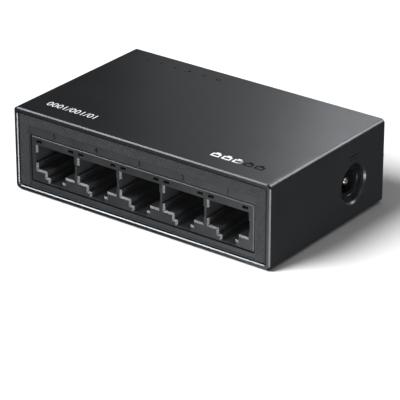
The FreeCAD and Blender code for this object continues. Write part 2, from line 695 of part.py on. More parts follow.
def circuit_board():
    """The board with every hole that a pin, peg or screw goes through."""
    board = block(
        (-BOARD_HALF_WIDTH, BOARD_HALF_WIDTH),
        (BOARD_FRONT, BOARD_REAR),
        (BOARD_BOTTOM, BOARD_TOP),
    )
    through = (BOARD_BOTTOM, BOARD_TOP)
    cuts = [post(x, y, through, SCREW_RADIUS + SCREW_CLEARANCE) for x, y in screw_places()]
    for x in peg_centres():
        cuts.append(post(x, SOCKET_FRONT + PEG_SETBACK, through, PEG_RADIUS + PEG_CLEARANCE))
    for port_x in port_centres():
        for x in wire_centres(port_x):
            cuts.append(post(x, TAIL_Y, through, TAIL_HOLE_RADIUS))
    slot_half = TERMINAL_FOOT_WIDTH / 2 + CARRIER_CLEARANCE
    pin_slot_x = POWER_BACK_X - TERMINAL_THICKNESS / 2
    leaf_slot_x = POWER_BORE_END_X + CARRIER_CLEARANCE + LEAF_THICKNESS / 2
    for x in (pin_slot_x, leaf_slot_x):
        half_thickness = TERMINAL_THICKNESS / 2 + CARRIER_CLEARANCE
        cuts.append(block(around(x, half_thickness), around(POWER_AXIS_Y, slot_half), through))
    return board.cut(cuts)


def on_board(centre, size):
    """A block that stands on the board."""
    return block(
        around(centre[0], size[0] / 2),
        around(centre[1], size[1] / 2),
        (BOARD_TOP, BOARD_TOP + size[2]),
    )


def package(centre, size, stand_off, bevel):
    """A moulded component body, a little above the board, with bevelled top edges."""
    body = on_board(centre, size)
    body.translate(FreeCAD.Vector(0, 0, stand_off))
    return body.makeChamfer(bevel, edges_at(body, "Z", BOARD_TOP + stand_off + size[2]))


def lead_row(centre_x, edge_y, direction, count, pitch):
    """A row of flat leads that step down from a body's edge to the board."""
    leads = []
    for index in range(count):
        x = centre_x + (index - (count - 1) / 2) * pitch
        far_y = edge_y + direction * LEAD_REACH
        y_range = (min(edge_y, far_y), max(edge_y, far_y))
        leads.append(block(around(x, LEAD_WIDTH / 2), y_range, (BOARD_TOP, BOARD_TOP + LEAD_THICKNESS)))
    return leads


def line_transformer(port_x):
    """One port's isolating transformer."""
    return package((port_x, TRANSFORMER_Y), TRANSFORMER_SIZE, LEAD_THICKNESS, TRANSFORMER_BEVEL)


def transformer_leads():
    """The leads of all five transformers."""
    half_depth = TRANSFORMER_SIZE[1] / 2
    leads = []
    for port_x in port_centres():
        for direction in (-1, 1):
            edge_y = TRANSFORMER_Y + direction * half_depth
            leads += lead_row(port_x, edge_y, direction, TRANSFORMER_LEADS, TRANSFORMER_LEAD_PITCH)
    return leads


def switch_chip_leads():
    """The leads on the four sides of the switch chip."""
    x, y = SWITCH_CHIP_CENTRE
    half = SWITCH_CHIP_SIZE[1] / 2
    side = lead_row(x, y + half, 1, SWITCH_CHIP_LEADS, SWITCH_CHIP_LEAD_PITCH)
    leads = []
    for quarter in range(4):
        leads += [rotated(lead, (x, y, BOARD_TOP), (0, 0, 1), 90 * quarter) for lead in side]
    return leads


def crystal():
    """The crystal's metal can, with rounded ends."""
    body = on_board(CRYSTAL_CENTRE, CRYSTAL_SIZE)
    return body.makeFillet(CRYSTAL_SIZE[1] / 2 - CRYSTAL_END_FLAT, edges_along(body, "z"))


def electrolytic(x, y, radius, height):
    """A surface-mount capacitor: a can on a square base."""
    base = on_board((x, y), (2 * radius, 2 * radius, CAPACITOR_BASE_HEIGHT))
    can = post(x, y, (BOARD_TOP, BOARD_TOP + height), radius - CAPACITOR_CAN_INSET)
    can = can.makeFillet(CAPACITOR_ROUNDING, edges_at(can, "Z", BOARD_TOP + height))
    return base.fuse(can)


def chip_parts():
    """The small resistors behind the transformers."""
    parts = []
    for port_x in port_centres():
        for index in range(CHIP_PARTS_PER_PORT):
            x = port_x + (index - (CHIP_PARTS_PER_PORT - 1) / 2) * CHIP_PART_PITCH
            parts.append(on_board((x, CHIP_PART_ROW_Y), CHIP_PART_SIZE))
    return parts


def indicator_light(x):
    """One light-emitting chip on the board."""
    return on_board((x, LIGHT_Y), LIGHT_CHIP_SIZE)


def light_guide():
    """The clear moulding with one pillar over each light, whose tips show in the top."""
    low = BOARD_TOP + LIGHT_CHIP_SIZE[2] + GUIDE_AIR_GAP
    high = INSIDE_TOP - GUIDE_TOP_GAP
    centres = light_centres()
    bar = block(
        (centres[0] - GUIDE_RADIUS, centres[-1] + GUIDE_RADIUS),
        around(LIGHT_Y, GUIDE_BAR_HALF_DEPTH),
        (BOARD_TOP + GUIDE_BAR_LOW, BOARD_TOP + GUIDE_BAR_HIGH),
    )
    pieces = []
    for x in centres:
        pieces.append(post(x, LIGHT_Y, (low, high), GUIDE_RADIUS))
        pieces.append(post(x, LIGHT_Y, (high, CASE_TOP - LIGHT_TIP_SINK), LIGHT_TIP_RADIUS))
    for index in (0, LIGHT_COUNT - 2):
        x = (centres[index] + centres[index + 1]) / 2
        pieces.append(post(x, LIGHT_Y, (BOARD_TOP, BOARD_TOP + GUIDE_BAR_LOW), GUIDE_LEG_RADIUS))
    return bar.multiFuse(pieces)


# ---------------------------------------------------------------- every node

def build():
    os.makedirs("parts", exist_ok=True)
    save("housing_sleeve", housing_sleeve())
    save("front_bezel", front_bezel())
    save("rear_panel", rear_panel())
    save("case_screws", [case_screw(x, y) for x, y in screw_places()])
    save("board_spacers", [board_spacer(x, y) for x, y in screw_places()])
    for end_name, end in (("front", -1), ("rear", 1)):
        for side_name, side in (("left", -1), ("right", 1)):
            save(f"rubber_foot_{end_name}_{side_name}", rubber_foot(side, end))

    save("circuit_board", circuit_board())
    save("network_socket_housing", network_socket_housing())
    for number, port_x in enumerate(port_centres(), start=1):
        save(f"contact_carrier_{number}", contact_carrier(port_x))
        save(f"hairpin_wires_{number}", [hairpin_wire(x) for x in wire_centres(port_x)])
        save(f"spring_fingers_{number}", [spring_finger(x) for x in wire_centres(port_x)])
        save(f"line_transformer_{number}", line_transformer(port_x))
    save("transformer_leads", transformer_leads())

    save("power_socket_body", power_socket_body())
    save("power_pin", power_pin())
    save("pin_terminal", pin_terminal())
    save("leaf_terminal", leaf_terminal())
    save("sleeve_leaf", sleeve_leaf())

    save("switch_chip", package(SWITCH_CHIP_CENTRE, SWITCH_CHIP_SIZE, LEAD_THICKNESS, CHIP_BEVEL))
    save("switch_chip_leads", switch_chip_leads())
    save("memory_chip", package(MEMORY_CENTRE, MEMORY_SIZE, 0, CHIP_BEVEL))
    save("crystal", crystal())
    save("power_inductor", package(INDUCTOR_CENTRE, INDUCTOR_SIZE, 0, INDUCTOR_BEVEL))
    save("voltage_regulator", package(REGULATOR_CENTRE, REGULATOR_SIZE, 0, REGULATOR_BEVEL))
    for name, x, y, radius, height in CAPACITORS:
        save(name, electrolytic(x, y, radius, height))
    save("chip_resistors", chip_parts())
    for number, x in enumerate(light_centres(), start=1):
        save(f"indicator_light_{number}", indicator_light(x))
    save("light_guide", light_guide())


build()
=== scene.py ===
"""The looks of a small five-port desktop network switch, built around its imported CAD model.

Everything is in metres in the CAD model's own frame: x runs to the right along the front, y runs to the
back and z runs up from the table. The CAD nodes keep their shapes and get procedural materials. The pieces
made here are the knurled skin of the front bezel and the printed marks.
"""

import math

import bmesh
import bpy
from mathutils import Matrix, Vector

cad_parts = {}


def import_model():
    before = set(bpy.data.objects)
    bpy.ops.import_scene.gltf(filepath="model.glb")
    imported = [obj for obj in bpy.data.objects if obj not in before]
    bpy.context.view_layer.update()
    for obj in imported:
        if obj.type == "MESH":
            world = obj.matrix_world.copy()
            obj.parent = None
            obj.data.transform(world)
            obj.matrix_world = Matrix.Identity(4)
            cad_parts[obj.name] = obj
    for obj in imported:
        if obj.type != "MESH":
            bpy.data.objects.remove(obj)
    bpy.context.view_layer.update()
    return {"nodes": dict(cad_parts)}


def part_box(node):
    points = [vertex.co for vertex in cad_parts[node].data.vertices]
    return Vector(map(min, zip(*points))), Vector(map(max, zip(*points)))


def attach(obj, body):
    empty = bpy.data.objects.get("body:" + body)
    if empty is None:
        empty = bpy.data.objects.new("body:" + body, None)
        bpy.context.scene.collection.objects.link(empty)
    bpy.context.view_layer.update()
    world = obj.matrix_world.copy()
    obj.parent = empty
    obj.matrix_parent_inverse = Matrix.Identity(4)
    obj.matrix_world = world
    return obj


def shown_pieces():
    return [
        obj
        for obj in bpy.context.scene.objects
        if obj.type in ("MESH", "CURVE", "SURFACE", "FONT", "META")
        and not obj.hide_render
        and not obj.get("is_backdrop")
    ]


MM = 0.001

# The camera stands where the photograph was taken from. Its angles are in degrees.
CAMERA_AZIMUTH = 36.85
CAMERA_ELEVATION = 25.28
CAMERA_DISTANCE = 655.97 * MM
CAMERA_TARGET = Vector((0.9, -0.5, -0.9)) * MM
CAMERA_LENS = 223.8
CAMERA_SENSOR = 36.0
CAMERA_CLIP_START = 0.01

# The lights stand round this point.
PRODUCT_MIDDLE = Vector((0, 0, 0.012))

# Suns that only reach the floor. Directions and spreads are in degrees.
FLOOR_LIGHTS = {
    "floor_key": dict(azimuth=327.6, elevation=42.0, spread=34, strength=6.0),
    "floor_fill": dict(azimuth=0, elevation=90, spread=100, strength=0.7),
}

# Soft lights that only reach the product. Directions and turns are in degrees, sizes in metres.
PRODUCT_LIGHTS = {
    "rear_left": dict(azimuth=212, elevation=27, distance=0.15, size=(0.06, 0.06), power=0.0043),
    "behind_left": dict(azimuth=191, elevation=36, distance=0.20, size=(0.08, 0.08), power=0.085),
    "right_high": dict(azimuth=60, elevation=45, distance=0.7, size=(0.25, 0.25), power=1.7),
    "near_front": dict(azimuth=23, elevation=17, distance=0.16, size=(0.06, 0.06), power=0.11),
    "low_front": dict(azimuth=6, elevation=-27, distance=0.113, size=(0.05, 0.05), power=0.034),
    "left_front": dict(azimuth=308, elevation=46, distance=0.7, size=(0.18, 0.18), power=4.5),
    "low_right": dict(azimuth=53, elevation=-25, distance=0.7, size=(0.18, 0.18), power=3.6),
    "right_rear": dict(azimuth=149.5, elevation=32.8, distance=0.7, size=(0.50, 0.10), power=2.8, turn=36),
    "low_rear": dict(azimuth=143, elevation=-25, distance=0.7, size=(0.30, 0.30), power=0.015),
}
PRODUCT_LIGHT_COLOUR = (0.93, 0.96, 1.0)

# How strongly the white room itself lights the scene, and how white the camera sees it.
ROOM_LIGHT = 0.03
ROOM_WHITE = 1.0

FLOOR_HALF_WIDTH = 6.0

# The knurled skin of the bezel: rhombic pyramids with flat tops, in a frame round the sockets.
KNURL_CELL_WIDTH = 0.68 * MM
KNURL_CELL_HEIGHT = 0.77 * MM
KNURL_RELIEF = 0.24 * MM
KNURL_SINK = 0.05 * MM              # how far the skin's flat back lies inside the bezel
KNURL_FLAT_SHARE = 0.58             # the flat top's width, as a share of the pyramid's
# From this share of its height up, a knurl is at its palest colour: partly rub wear, partly painted
# highlight.
KNURL_CROWN_START = 0.9             # from here up, as a share of its height, a knurl is rubbed
KNURL_MARGIN = 0.30 * MM            # left smooth along the bezel's outside and its window
WINDOW_GAP = 0.22 * MM              # between the bezel's window and the sockets
SMOOTH_BAND_HEIGHT = 2.45 * MM      # the band over the window that carries the port numbers

# Points nearer to each other than this count as one.
CUT_TOLERANCE = 1e-7
KNURL_TOLERANCE = 1e-6
PRINT_TOLERANCE = 1e-8

# The printed marks.
PRINT_THICKNESS = 0.016 * MM
ANY_THICKNESS = 0.01                # of a drawing, before it is fitted to its place
LETTER_STEPS = 5
CIRCLE_STEPS = 24
PORT_COUNT = 5
PORT_PITCH = 13.97 * MM
SMALL_NUMBER_BOLDNESS = 0.01
PORT_NUMBER_HEIGHT = 1.5 * MM
LAMP_FIRST_X = -34.05 * MM
LAMP_PITCH = 4.83 * MM
LAMP_Y = 20.1 * MM
LAMP_NUMBER_HEIGHT = 1.3 * MM
LAMP_NUMBER_OFFSET = Vector((0.95, 0.75, 0)) * MM
LAMP_RING_BORE = 0.62               # as a share of the ring's width
TOP_PRINT_Y = -18.6 * MM
TOP_PRINT_HEIGHT = 2.4 * MM
TOP_PRINT_WIDTH = 16.0 * MM
SPEED_PRINT_X = -27.2 * MM
PORTS_PRINT_X = 26.4 * MM
# Painted reflection on the foil of the port pictures: white up to the first x, black from the second on.
FOIL_REFLECTION_WHITE_END = PORTS_PRINT_X - 0.6 * MM
FOIL_REFLECTION_BLACK_START = PORTS_PRINT_X + 1.8 * MM
CURRENT_MARK_HEIGHT = 1.3 * MM
CURRENT_MARK_WIDTH = 3.4 * MM
CURRENT_MARK_LIFT = 7.4 * MM        # above the axis of the power socket

# The picture of a socket, drawn in millimetres, and the direct-current sign: bars given by their left,
# right, bottom and top, in no particular size.
SOCKET_PICTURE_WIDTH = 2.6 * MM
SOCKET_OUTLINE = (
    (-1.3, 1.2), (1.3, 1.2), (1.3, -0.6), (0.62, -0.6),
    (0.62, -1.2), (-0.62, -1.2), (-0.62, -0.6), (-1.3, -0.6),
)
SOCKET_OPENING = ((-0.85, 0.75), (0.85, 0.75), (0.85, -0.15), (-0.85, -0.15))
CURRENT_BARS = (
    (-1.0, 1.0, 0.25, 0.60),
    (-1.0, -0.5, -0.60, -0.25),
    (-0.25, 0.25, -0.60, -0.25),
    (0.5, 1.0, -0.60, -0.25),
)

# Turns that put a drawing on a face of the case.
FACING_FRONT = Matrix.Rotation(math.radians(90), 4, "X")
FACING_RIGHT = Matrix.Rotation(math.radians(90), 4, "Z") @ FACING_FRONT
READ_FROM_BEHIND = Matrix.Rotation(math.radians(180), 4, "Z")

# Noise seldom leaves this range, so it is stretched from here to whatever is wanted.
NOISE_LOW = 0.3
NOISE_HIGH = 0.7
BEVEL_SAMPLES = 4
OCCLUSION_SAMPLES = 6

# The front rim's chamfers reach this far back, and those round the case's outside this far in.
RIM_DEPTH = 0.32 * MM
OUTSIDE_RIM_WIDTH = 0.5 * MM
RIM_DEPTH_FADE = 0.02 * MM
RIM_WIDTH_FADE = 0.1 * MM
OUTSIDE_RIM_GREY = 0.022
BORE_RIM_GREY = 0.060
EDGE_POLISH = 0.06                  # taken off the roughness where handling has polished an edge

# Gaps and crevices narrower than about this get painted shade: their colour is painted nearly black.
CREVICE_REACH = 0.6 * MM
PAINTED_CREVICE_SHADE_GREY = 0.001

# Most of the dark plastics are a little blue.
COOL = -0.03


# ---------------------------------------------------------------------------------------------------------
# Node helpers
# ---------------------------------------------------------------------------------------------------------

def node(tree, kind, inputs=None, **settings):
    """Adds a node. A socket given as an input is linked, and any other value is set."""
    made = tree.nodes.new(kind)
    for name, value in settings.items():
        setattr(made, name, value)
    for name, value in (inputs or {}).items():
        if isinstance(value, bpy.types.NodeSocket):
            tree.links.new(value, made.inputs[name])
        else:
            made.inputs[name].default_value = value
    return made


def new_material(name, fixed=None):
    """A material with a Principled shader that has those fixed values: (material, tree, shader)."""
    material = bpy.data.materials.new(name)
    material.use_nodes = True
    tree = material.node_tree
    tree.nodes.clear()
    shader = node(tree, "ShaderNodeBsdfPrincipled", fixed)
    node(tree, "ShaderNodeOutputMaterial", {"Surface": shader.outputs["BSDF"]})
    return material, tree, shader


def place(tree, stretch=(1, 1, 1)):
    """The point on the object in metres, stretched along each axis."""
    point = node(tree, "ShaderNodeTexCoord").outputs["Object"]
    return node(tree, "ShaderNodeMapping", {"Vector": point, "Scale": stretch}).outputs["Vector"]


def split(tree, vector):
    """The outputs X, Y and Z of a vector."""
    return node(tree, "ShaderNodeSeparateXYZ", {"Vector": vector}).outputs


def noise(tree, size, detail=4.0, roughness=0.6, stretch=(1, 1, 1)):
    """Noise from 0 to 1 whose lumps are about size metres across."""
    inputs = {"Vector": place(tree, stretch), "Scale": 1 / size, "Detail": detail, "Roughness": roughness}
    return node(tree, "ShaderNodeTexNoise", inputs).outputs["Fac"]


def remap(tree, value, low, high, from_low=NOISE_LOW, from_high=NOISE_HIGH):
    """Value moved from one range to another and held inside it."""
    inputs = {"Value": value, "From Min": from_low, "From Max": from_high, "To Min": low, "To Max": high}
    return node(tree, "ShaderNodeMapRange", inputs).outputs["Result"]


def drifting(tree, low, high, size):
    """A number that drifts between two values, over patches about size metres across."""
    return remap(tree, noise(tree, size), low, high)


def between(tree, share, low_colour, high_colour):
    """A colour between two others."""
    mix = node(tree, "ShaderNodeMix", data_type="RGBA")
    for socket, value in ((0, share), (6, low_colour), (7, high_colour)):
        if isinstance(value, bpy.types.NodeSocket):
            tree.links.new(value, mix.inputs[socket])
        else:
            mix.inputs[socket].default_value = value
    return mix.outputs[2]


def arithmetic(tree, operation, a, b=0.0):
    """One number combined with another."""
    return node(tree, "ShaderNodeMath", {0: a, 1: b}, operation=operation).outputs["Value"]


def times(tree, a, b):
    """One number times another."""
    return arithmetic(tree, "MULTIPLY", a, b)


def grey(value, warmth=0.0):
    """A colour of that lightness, a little blue when warmth is below 0."""
    return (value * (1 + warmth), value, value * (1 - warmth), 1)


def rounded_normal(tree, radius):
    """The surface's direction as if its edges were rounded."""
    return node(tree, "ShaderNodeBevel", {"Radius": radius}, samples=BEVEL_SAMPLES).outputs["Normal"]


def edges_near(tree, radius):
    """1 on an edge, falling to 0 within radius of it."""
    flat = node(tree, "ShaderNodeNewGeometry").outputs["Normal"]
    inputs = {0: rounded_normal(tree, radius), 1: flat}
    same = node(tree, "ShaderNodeVectorMath", inputs, operation="DOT_PRODUCT").outputs["Value"]
    return remap(tree, same, 1.0, 0.0, from_low=0.8, from_high=0.995)


def grain(tree, shader, size, height, edge_radius=None, stretch=(1, 1, 1)):
    """Gives the shader a fine bump of that size and height, and rounds its edges."""
    lumps = noise(tree, size, detail=3.0, stretch=stretch)
    inputs = {"Height": lumps, "Strength": 1.0, "Distance": height}
    if edge_radius:
        inputs["Normal"] = rounded_normal(tree, edge_radius)
    tree.links.new(node(tree, "ShaderNodeBump", inputs).outputs["Normal"], shader.inputs["Normal"])


def openness(tree, reach):
    """1 on open faces, falling to 0 in gaps and crevices narrower than about that reach, where the plastics
    get painted shade.
    """
    inputs = {"Distance": reach}
    lit_share = node(tree, "ShaderNodeAmbientOcclusion", inputs, samples=OCCLUSION_SAMPLES).outputs["AO"]
    return remap(tree, lit_share, 0.0, 1.0, from_low=0.45, from_high=0.85)


def coloured(tree, shader, low_colour, high_colour, cloud_size):
    """Gives the shader a colour that drifts softly between two."""
    share = drifting(tree, 0.0, 1.0, cloud_size)
    tree.links.new(between(tree, share, low_colour, high_colour), shader.inputs["Base Color"])


def glossed(tree, shader, low, high, patch_size):
    """Gives the shader a roughness that drifts between two values."""
    tree.links.new(drifting(tree, low, high, patch_size), shader.inputs["Roughness"])


# ---------------------------------------------------------------------------------------------------------
# Materials
# ---------------------------------------------------------------------------------------------------------

def on_rounded_edge(tree):
    """1 where the surface turns a corner, and 0 on the flat faces."""
    facing = node(tree, "ShaderNodeNewGeometry").outputs["Normal"]
    sizes = node(tree, "ShaderNodeVectorMath", {0: facing}, operation="ABSOLUTE").outputs["Vector"]
    parts = split(tree, sizes)
    largest = arithmetic(tree, "MAXIMUM", parts["X"], parts["Y"])
    largest = arithmetic(tree, "MAXIMUM", largest, parts["Z"])
    return remap(tree, largest, 1.0, 0.0, from_low=0.93, from_high=0.99)


def inside_bore(tree, low, high):
    """1 on the chamfers where the case's bore begins, and 0 on those round its outside."""
    point = split(tree, place(tree))
    middle_z = (low.z + high.z) / 2
    from_side = arithmetic(tree, "SUBTRACT", high.x, arithmetic(tree, "ABSOLUTE", point["X"]))
    off_middle = arithmetic(tree, "ABSOLUTE", arithmetic(tree, "SUBTRACT", point["Z"], middle_z))
    from_top = arithmetic(tree, "SUBTRACT", high.z - middle_z, off_middle)
    from_outside = arithmetic(tree, "MINIMUM", from_side, from_top)
    return remap(tree, from_outside, 0.0, 1.0, OUTSIDE_RIM_WIDTH, OUTSIDE_RIM_WIDTH + RIM_WIDTH_FADE)


def rim_cut(tree, front_y):
    """1 on the chamfers of the front rim, which are cut after anodising, and 0 elsewhere."""
    y = split(tree, place(tree))["Y"]
    cut_end = front_y + RIM_DEPTH
    at_front = remap(tree, y, 1.0, 0.0, from_low=cut_end, from_high=cut_end + RIM_DEPTH_FADE)
    facing = split(tree, node(tree, "ShaderNodeNewGeometry").outputs["Normal"])["Y"]
    not_flat = remap(tree, facing, 0.0, 1.0, from_low=-0.96, from_high=-0.90)
    not_side = remap(tree, facing, 1.0, 0.0, from_low=-0.45, from_high=-0.30)
    return times(tree, at_front, times(tree, not_flat, not_side))


def anodised_skin(tree):
    """The colour of the anodising, paler where its edges are worn."""
    cloud = drifting(tree, 0.0, 1.0, 18 * MM)
    whole = between(tree, cloud, grey(0.0095, warmth=-0.04), grey(0.0125, warmth=-0.05))
    scuffs = remap(tree, noise(tree, 1.6 * MM, detail=5.0, roughness=0.5), 0.35, 0.8)
    worn = times(tree, edges_near(tree, 0.25 * MM), scuffs)
    return between(tree, worn, whole, grey(0.05, warmth=-0.02))


def anodised_case():
    """Satin dark grey anodising over bead-blasted aluminium, with bright-cut chamfers on the front rim."""
    material, tree, shader = new_material("anodised_case")
    low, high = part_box("housing_sleeve")
    cut_share = rim_cut(tree, low.y)
    outside_metal = grey(OUTSIDE_RIM_GREY, warmth=-0.02)
    bore_metal = grey(BORE_RIM_GREY, warmth=-0.02)
    cut_metal = between(tree, inside_bore(tree, low, high), outside_metal, bore_metal)
    tree.links.new(between(tree, cut_share, anodised_skin(tree), cut_metal), shader.inputs["Base Color"])
    tree.links.new(cut_share, shader.inputs["Metallic"])
    speckle = remap(tree, noise(tree, 0.25 * MM, detail=3.0, roughness=0.7), -0.03, 0.03)
    rough = arithmetic(tree, "ADD", speckle, drifting(tree, 0.34, 0.39, 14 * MM))
    polish = times(tree, on_rounded_edge(tree), EDGE_POLISH)
    tree.links.new(arithmetic(tree, "SUBTRACT", rough, polish), shader.inputs["Roughness"])
    grain(tree, shader, size=0.12 * MM, height=0.0025 * MM)
    return material


def moulded(name, greys, roughness, grain_size, grain_height, edge_radius, specular=0.4):
    """Dark moulded plastic with spark-eroded grain, softened edges, a slight drift in its gloss and painted
    shade in its gaps and crevices.
    """
    material, tree, shader = new_material(name, {"Specular IOR Level": specular})
    darkest, palest = greys
    clean = between(tree, drifting(tree, 0.0, 1.0, 6 * MM), grey(darkest, COOL), grey(palest, COOL))
    # Painted shade: the colour is painted nearly black in gaps and crevices, and the roughness rises there.
    open_share = openness(tree, CREVICE_REACH)
    tree.links.new(between(tree, open_share, grey(PAINTED_CREVICE_SHADE_GREY), clean), shader.inputs["Base Color"])
    glossiest, dullest = roughness
    closed_share = arithmetic(tree, "SUBTRACT", 1.0, open_share)
    dulled = times(tree, closed_share, 1.0 - dullest)
    rough = arithmetic(tree, "ADD", drifting(tree, glossiest, dullest, 3 * MM), dulled)
    tree.links.new(rough, shader.inputs["Roughness"])
    grain(tree, shader, grain_size, grain_height, edge_radius)
    return material


def end_plastic():
    """The dark grey plastic of the bezel and the rear panel."""
    return moulded("end_plastic", greys=(0.020, 0.027), roughness=(0.42, 0.50),
                   grain_size=0.10 * MM, grain_height=0.006 * MM, edge_radius=0.06 * MM)


def knurl_plastic():
    """The bezel's plastic on its knurls: paler on the crowns, partly rub wear and partly painted highlight,
    and dull and near-black in the valleys, where the black is painted shade.
    """
    material, tree, shader = new_material("knurl_plastic", {"Specular IOR Level": 0.42})
    face_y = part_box("front_bezel")[0].y
    crown_y = face_y - KNURL_RELIEF * KNURL_CROWN_START
    crown = remap(tree, split(tree, place(tree))["Y"], 0.0, 1.0, from_low=face_y, from_high=crown_y)
    rub_wear_and_painted_light = times(tree, crown, drifting(tree, 0.7, 1.0, 2 * MM))
    # Painted shade and highlight: the colour runs from near-black in the valleys, standing in for their
    # shade, to paler crowns, partly rub wear and partly a painted highlight.
    tree.links.new(between(tree, rub_wear_and_painted_light, grey(0.001), grey(0.050, COOL)), shader.inputs["Base Color"])
    tree.links.new(remap(tree, rub_wear_and_painted_light, 0.95, 0.38, from_low=0.0, from_high=1.0), shader.inputs["Roughness"])
    grain(tree, shader, size=0.10 * MM, height=0.004 * MM)
    return material


def socket_plastic():
    """The black plastic of the sockets."""
    return moulded("socket_plastic", greys=(0.016, 0.022), roughness=(0.36, 0.46),
                   grain_size=0.14 * MM, grain_height=0.005 * MM, edge_radius=0.05 * MM)


def jack_plastic():
    """The blacker plastic of the power socket."""
    return moulded("jack_plastic", greys=(0.003, 0.006), roughness=(0.34, 0.44),
                   grain_size=0.14 * MM, grain_height=0.004 * MM, edge_radius=0.05 * MM, specular=0.3)


def package_black():
    """The moulding compound of the chips, coarser than the other plastics."""
    return moulded("package_black", greys=(0.016, 0.030), roughness=(0.55, 0.70),
                   grain_size=0.08 * MM, grain_height=0.012 * MM, edge_radius=0.04 * MM)


def foot_rubber():
    """Matt black rubber with a dusty bloom."""
    material, tree, shader = new_material("foot_rubber", {"Specular IOR Level": 0.3})
    coloured(tree, shader, grey(0.010), grey(0.030, warmth=0.05), 1.2 * MM)
    glossed(tree, shader, 0.72, 0.92, 0.8 * MM)
    grain(tree, shader, size=0.18 * MM, height=0.02 * MM, edge_radius=0.1 * MM)
    return material


def plated(name, colours, roughness, patch_size, scratch_height, stretch=(1, 1, 1)):
    """Metal plating whose colour and gloss drift, with fine marks that the stretch can draw out."""
    material, tree, shader = new_material(name, {"Metallic": 1.0})
    coloured(tree, shader, *colours, patch_size)
    glossed(tree, shader, *roughness, patch_size)
    grain(tree, shader, 0.06 * MM, scratch_height, 0.03 * MM, stretch)
    return material


def contact_gold():
    """Gold over drawn bronze wire, marked along its length."""
    colours = (0.72, 0.46, 0.13, 1), (0.86, 0.62, 0.24, 1)
    return plated("contact_gold", colours, roughness=(0.16, 0.30), patch_size=0.7 * MM,
                  scratch_height=0.002 * MM, stretch=(1, 0.15, 0.15))


def nickel_plate():
    """Bright nickel, barely yellow."""
    colours = (0.60, 0.58, 0.53, 1), (0.74, 0.72, 0.67, 1)
    return plated("nickel_plate", colours, roughness=(0.10, 0.22), patch_size=1.0 * MM,
                  scratch_height=0.0015 * MM, stretch=(0.2, 1, 1))


def tinned_leads():
    """Dull tin and solder."""
    colours = (0.50, 0.50, 0.51, 1), (0.70, 0.70, 0.70, 1)
    return plated("tinned_leads", colours, roughness=(0.28, 0.50), patch_size=0.5 * MM,
                  scratch_height=0.006 * MM)


def screw_steel():
    """Zinc-plated steel, finely marked."""
    colours = (0.42, 0.43, 0.45, 1), (0.60, 0.60, 0.60, 1)
    return plated("screw_steel", colours, roughness=(0.24, 0.42), patch_size=0.8 * MM,
                  scratch_height=0.004 * MM)


def can_metal():
    """Drawn aluminium cans, marked along their height."""
    colours = (0.60, 0.61, 0.63, 1), (0.76, 0.76, 0.77, 1)
    return plated("can_metal", colours, roughness=(0.20, 0.36), patch_size=1.2 * MM,
                  scratch_height=0.003 * MM, stretch=(1, 1, 0.1))


def nylon():
    """Natural nylon, a little translucent."""
    material, tree, shader = new_material("nylon", {"Subsurface Weight": 0.2, "Subsurface Scale": 0.5 * MM})
    coloured(tree, shader, (0.62, 0.60, 0.52, 1), (0.74, 0.72, 0.66, 1), 1.5 * MM)
    glossed(tree, shader, 0.40, 0.55, 1.0 * MM)
    grain(tree, shader, size=0.2 * MM, height=0.004 * MM, edge_radius=0.05 * MM)
    return material


def board_laminate():
    """Green solder mask over copper tracks and a faint glass weave."""
    material, tree, shader = new_material("board_laminate")
    point = place(tree)
    inputs = {"Vector": point, "Scale": 1 / MM, "Mortar Size": 0.12, "Mortar Smooth": 0.3,
              "Brick Width": 3.1, "Row Height": 0.55}
    tracks = node(tree, "ShaderNodeTexBrick", inputs, offset=0.37, squash=0.6).outputs["Fac"]
    mask = between(tree, tracks, (0.006, 0.060, 0.024, 1), (0.012, 0.115, 0.045, 1))
    cloud = remap(tree, noise(tree, 5 * MM, roughness=0.5), 0.0, 0.35)
    tree.links.new(between(tree, cloud, mask, (0.004, 0.045, 0.020, 1)), shader.inputs["Base Color"])
    glossed(tree, shader, 0.22, 0.36, 2 * MM)
    weave = node(tree, "ShaderNodeTexWave", {"Vector": point, "Scale": 0.4 / MM, "Distortion": 0.4})
    height = arithmetic(tree, "ADD", weave.outputs["Fac"], tracks)
    bump = node(tree, "ShaderNodeBump", {"Height": height, "Distance": 0.012 * MM})
    tree.links.new(bump.outputs["Normal"], shader.inputs["Normal"])
    return material


def resistor_ceramic():
    """Thick-film chips: black glass over white ceramic, which shows along the edges."""
    material, tree, shader = new_material("resistor_ceramic")
    cloud = remap(tree, noise(tree, 0.5 * MM, roughness=0.5), 0.0, 1.0)
    glass = between(tree, cloud, grey(0.012), grey(0.035))
    edge = edges_near(tree, 0.08 * MM)
    tree.links.new(between(tree, edge, glass, (0.45, 0.44, 0.42, 1)), shader.inputs["Base Color"])
    glossed(tree, shader, 0.20, 0.40, 0.4 * MM)
    grain(tree, shader, size=0.1 * MM, height=0.004 * MM)
    return material


def lamp_lens():
    """Clear epoxy over a small chip, faintly green and cloudy."""
    material, tree, shader = new_material("lamp_lens", {"Transmission Weight": 0.6, "IOR": 1.52})
    coloured(tree, shader, (0.55, 0.66, 0.42, 1), (0.78, 0.86, 0.62, 1), 0.4 * MM)
    glossed(tree, shader, 0.08, 0.22, 0.3 * MM)
    grain(tree, shader, size=0.1 * MM, height=0.002 * MM)
    return material


def clear_acrylic():
    """Clear acrylic with slightly frosted faces."""
    material, tree, shader = new_material("clear_acrylic", {"Transmission Weight": 0.92, "IOR": 1.49})
    coloured(tree, shader, (0.80, 0.83, 0.86, 1), (0.93, 0.95, 0.97, 1), 1.5 * MM)
    glossed(tree, shader, 0.06, 0.20, 1.0 * MM)
    grain(tree, shader, size=0.15 * MM, height=0.002 * MM)
    return material


